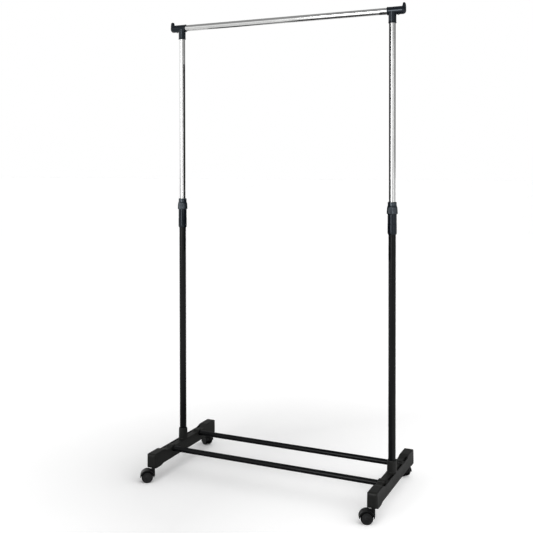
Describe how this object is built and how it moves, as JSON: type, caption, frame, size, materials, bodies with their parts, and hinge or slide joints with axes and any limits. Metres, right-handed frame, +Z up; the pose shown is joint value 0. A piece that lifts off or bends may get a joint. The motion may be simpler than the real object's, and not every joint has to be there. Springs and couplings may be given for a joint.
{
  "type": "rolling clothes rack",
  "caption": "Rolling clothes rack: a hanging rail on telescoping posts with twist locks, moulded feet joined by shoe rails, and twin-wheel casters.",
  "frame": {"origin": "on the floor, midway between the two posts", "axes": "+X to the right along the hanging rail, -Y to the front, +Z up"},
  "size_m": [0.8137, 0.445, 1.4985],
  "materials": {
    "foot_plastic": "moulded black plastic, fine matte texture",
    "black_plastic": "moulded black plastic, satin",
    "black_paint": "semi-gloss black powder coat on steel tube",
    "bright_steel": "polished bright steel tube with faint drawing lines",
    "zinc_steel": "zinc-plated steel",
    "nylon": "natural nylon",
    "caster_plastic": "black nylon, satin"
  },
  "bodies": {
    "base": {"foot_left": "foot_plastic", "lower_post_left": "black_paint", "post_plug_left": "zinc_steel", "post_bolt_left": "zinc_steel", "post_washer_left": "zinc_steel", "collar_sleeve_left": "black_plastic", "collet_left": "nylon", "foot_right": "foot_plastic", "lower_post_right": "black_paint", "post_plug_right": "zinc_steel", "post_bolt_right": "zinc_steel", "post_washer_right": "zinc_steel", "collar_sleeve_right": "black_plastic", "collet_right": "nylon", "shoe_rail_front": "black_paint", "shoe_rail_rear": "black_paint", "rail_screw_front_left": "zinc_steel", "caster_stem_front_left": "zinc_steel", "grip_ring_front_left": "zinc_steel", "rail_screw_front_right": "zinc_steel", "caster_stem_front_right": "zinc_steel", "grip_ring_front_right": "zinc_steel", "rail_screw_rear_left": "zinc_steel", "caster_stem_rear_left": "zinc_steel", "grip_ring_rear_left": "zinc_steel", "rail_screw_rear_right": "zinc_steel", "caster_stem_rear_right": "zinc_steel", "grip_ring_rear_right": "zinc_steel"},
    "upper_frame": {"upper_post_left": "bright_steel", "guide_plug_left": "nylon", "t_connector_left": "black_plastic", "t_post_screw_left": "zinc_steel", "t_rail_screw_left": "zinc_steel", "upper_post_right": "bright_steel", "guide_plug_right": "nylon", "t_connector_right": "black_plastic", "t_post_screw_right": "zinc_steel", "t_rail_screw_right": "zinc_steel", "hanging_rail": "bright_steel"},
    "lock_nut_left": {"lock_nut_left": "black_plastic"},
    "lock_nut_right": {"lock_nut_right": "black_plastic"},
    "caster_front_left": {"caster_hood_front_left": "caster_plastic", "caster_axle_front_left": "zinc_steel"},
    "wheel_front_left_front": {"caster_wheel_front_left_front": "caster_plastic"},
    "wheel_front_left_back": {"caster_wheel_front_left_back": "caster_plastic"},
    "caster_front_right": {"caster_hood_front_right": "caster_plastic", "caster_axle_front_right": "zinc_steel"},
    "wheel_front_right_front": {"caster_wheel_front_right_front": "caster_plastic"},
    "wheel_front_right_back": {"caster_wheel_front_right_back": "caster_plastic"},
    "caster_rear_left": {"caster_hood_rear_left": "caster_plastic", "caster_axle_rear_left": "zinc_steel"},
    "wheel_rear_left_front": {"caster_wheel_rear_left_front": "caster_plastic"},
    "wheel_rear_left_back": {"caster_wheel_rear_left_back": "caster_plastic"},
    "caster_rear_right": {"caster_hood_rear_right": "caster_plastic", "caster_axle_rear_right": "zinc_steel"},
    "wheel_rear_right_front": {"caster_wheel_rear_right_front": "caster_plastic"},
    "wheel_rear_right_back": {"caster_wheel_rear_right_back": "caster_plastic"}
  },
  "joints": [
    {"name": "height_slide", "type": "slide", "parent": "base", "child": "upper_frame", "axis": [0, 0, 1], "range_m": [-0.535, 0.11]},
    {"name": "lock_nut_left_turn", "type": "hinge", "parent": "base", "child": "lock_nut_left", "pos_m": [-0.365, 0, 0.883], "axis": [0, 0, 1], "range_deg": [0, 270]},
    {"name": "lock_nut_right_turn", "type": "hinge", "parent": "base", "child": "lock_nut_right", "pos_m": [0.365, 0, 0.883], "axis": [0, 0, 1], "range_deg": [0, 270]},
    {"name": "caster_front_left_swivel", "type": "hinge", "parent": "base", "child": "caster_front_left", "pos_m": [-0.365, -0.189, 0.045], "axis": [0, 0, 1], "continuous": true},
    {"name": "wheel_front_left_front_roll", "type": "hinge", "parent": "caster_front_left", "child": "wheel_front_left_front", "pos_m": [-0.38111, -0.19907, 0.018], "axis": [0.5299, -0.848, 0], "continuous": true},
    {"name": "wheel_front_left_back_roll", "type": "hinge", "parent": "caster_front_left", "child": "wheel_front_left_back", "pos_m": [-0.38111, -0.19907, 0.018], "axis": [0.5299, -0.848, 0], "continuous": true},
    {"name": "caster_front_right_swivel", "type": "hinge", "parent": "base", "child": "caster_front_right", "pos_m": [0.365, -0.189, 0.045], "axis": [0, 0, 1], "continuous": true},
    {"name": "wheel_front_right_front_roll", "type": "hinge", "parent": "caster_front_right", "child": "wheel_front_right_front", "pos_m": [0.34738, -0.19612, 0.018], "axis": [0.3746, -0.9272, 0], "continuous": true},
    {"name": "wheel_front_right_back_roll", "type": "hinge", "parent": "caster_front_right", "child": "wheel_front_right_back", "pos_m": [0.34738, -0.19612, 0.018], "axis": [0.3746, -0.9272, 0], "continuous": true},
    {"name": "caster_rear_left_swivel", "type": "hinge", "parent": "base", "child": "caster_rear_left", "pos_m": [-0.365, 0.189, 0.045], "axis": [0, 0, 1], "continuous": true},
    {"name": "wheel_rear_left_front_roll", "type": "hinge", "parent": "caster_rear_left", "child": "wheel_rear_left_front", "pos_m": [-0.38178, 0.19792, 0.018], "axis": [-0.4695, -0.8829, 0], "continuous": true},
    {"name": "wheel_rear_left_back_roll", "type": "hinge", "parent": "caster_rear_left", "child": "wheel_rear_left_back", "pos_m": [-0.38178, 0.19792, 0.018], "axis": [-0.4695, -0.8829, 0], "continuous": true},
    {"name": "caster_rear_right_swivel", "type": "hinge", "parent": "base", "child": "caster_rear_right", "pos_m": [0.365, 0.189, 0.045], "axis": [0, 0, 1], "continuous": true},
    {"name": "wheel_rear_right_front_roll", "type": "hinge", "parent": "caster_rear_right", "child": "wheel_rear_right_front", "pos_m": [0.34889, 0.19907, 0.018], "axis": [-0.5299, -0.848, 0], "continuous": true},
    {"name": "wheel_rear_right_back_roll", "type": "hinge", "parent": "caster_rear_right", "child": "wheel_rear_right_back", "pos_m": [0.34889, 0.19907, 0.018], "axis": [-0.5299, -0.848, 0], "continuous": true}
  ]
}
